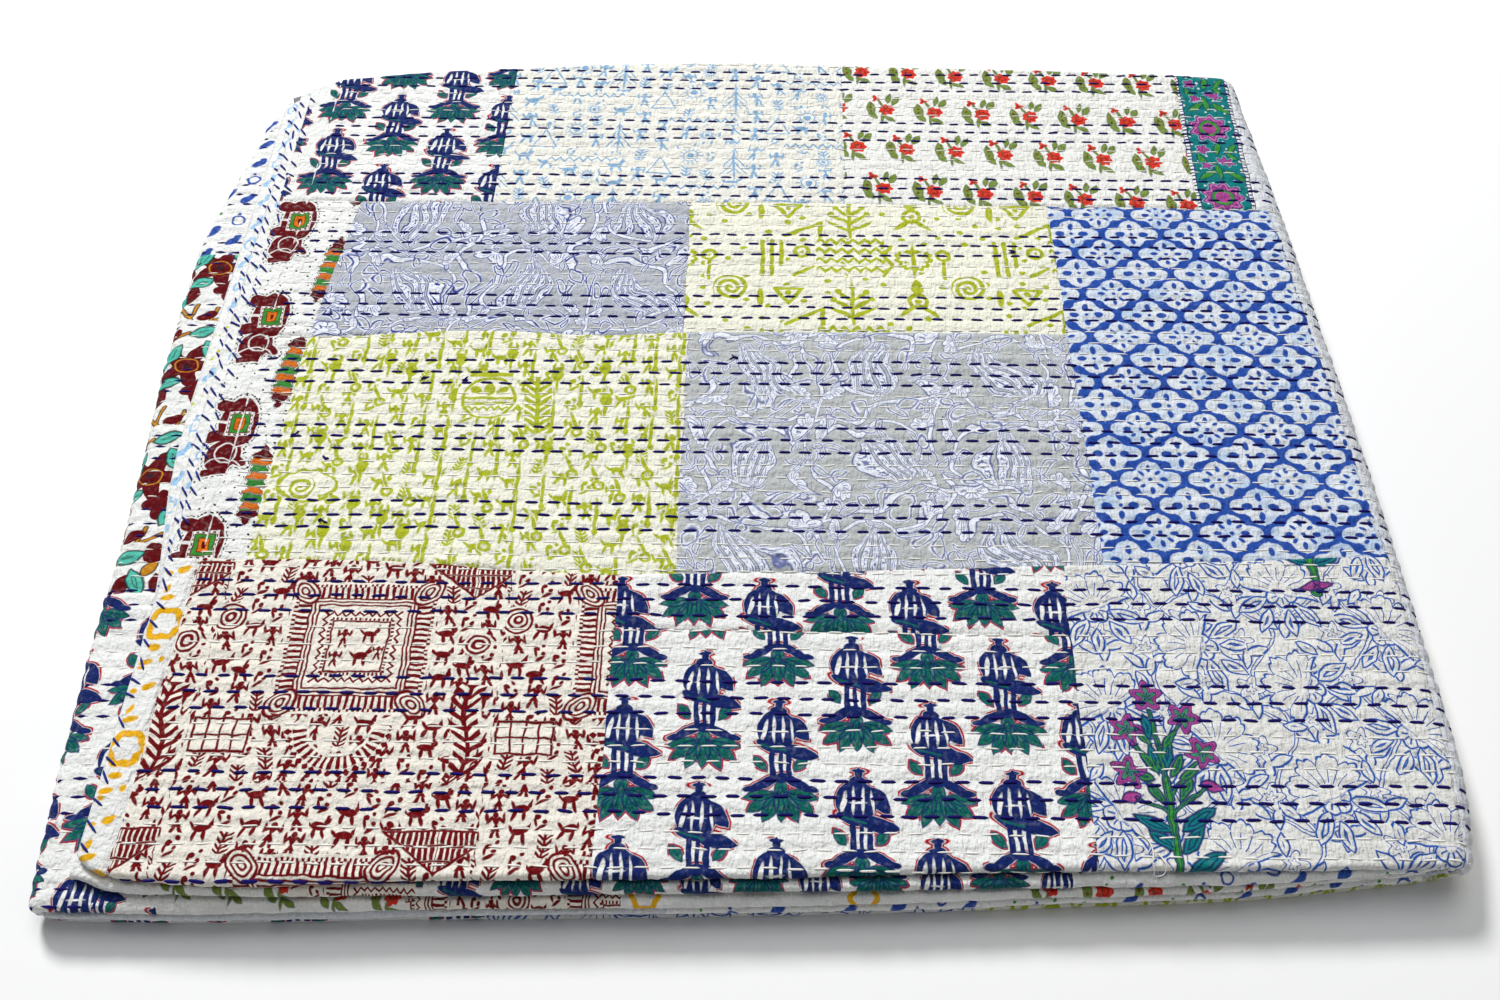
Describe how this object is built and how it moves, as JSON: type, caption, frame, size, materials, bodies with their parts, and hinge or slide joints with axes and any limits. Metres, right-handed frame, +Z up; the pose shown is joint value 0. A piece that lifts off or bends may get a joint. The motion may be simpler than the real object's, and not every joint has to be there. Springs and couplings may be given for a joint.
{
  "type": "kantha quilt",
  "caption": "Hand-quilted patchwork cotton quilt, folded flat into a low rectangular stack of plies with round lips at the front; rests on its flat underside.",
  "frame": {"origin": "under the middle of the folded quilt's box, on the surface that it rests on", "axes": "+X to the right along the quilting lines, from the open hem to the closed fold; +Y from the front lips to the back; +Z up"},
  "size_m": [0.8328, 0.7142, 0.0379],
  "materials": {
    "printed_cotton": "matt block-printed cotton patches, hand quilted",
    "thread": "matt cotton thread"
  },
  "bodies": {
    "root": {"quilt": "printed_cotton"}
  },
  "joints": []
}
